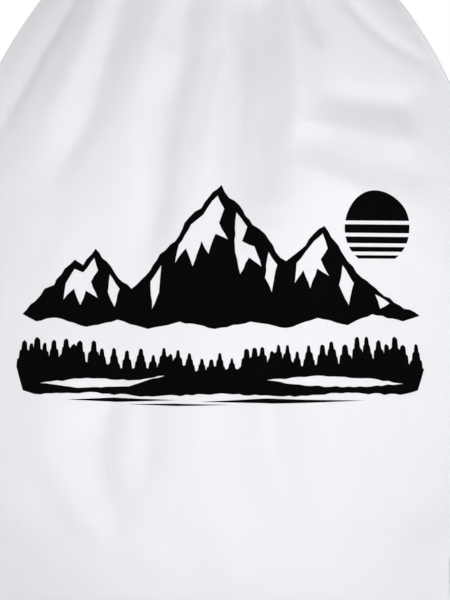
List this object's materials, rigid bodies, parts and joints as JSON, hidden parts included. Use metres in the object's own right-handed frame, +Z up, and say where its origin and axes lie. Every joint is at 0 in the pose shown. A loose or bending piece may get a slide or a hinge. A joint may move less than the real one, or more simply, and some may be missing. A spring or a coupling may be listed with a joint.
{
  "type": "drawstring bag",
  "caption": "Soft white cotton drawstring gym bag, filled out and standing on its base, with a gathered mouth, cord tunnels and metal corner eyelets.",
  "frame": {"origin": "middle of the flattened base, on the surface that the bag stands on", "axes": "+Z up to the mouth, +X across the bag to the right seen from the front, -Y out of the printed front"},
  "size_m": [0.329, 0.1134, 0.426],
  "materials": {
    "cotton": "white plain-weave cotton, matt",
    "patch": "white cotton tape, matt",
    "eyelet_metal": "nickel-plated, satin"
  },
  "bodies": {
    "root": {"front_panel": "cotton", "back_panel": "cotton", "front_cord_tunnel": "cotton", "back_cord_tunnel": "cotton", "front_left_patch": "patch", "front_right_patch": "patch", "back_left_patch": "patch", "back_right_patch": "patch", "left_eyelet": "eyelet_metal", "right_eyelet": "eyelet_metal"}
  },
  "joints": []
}
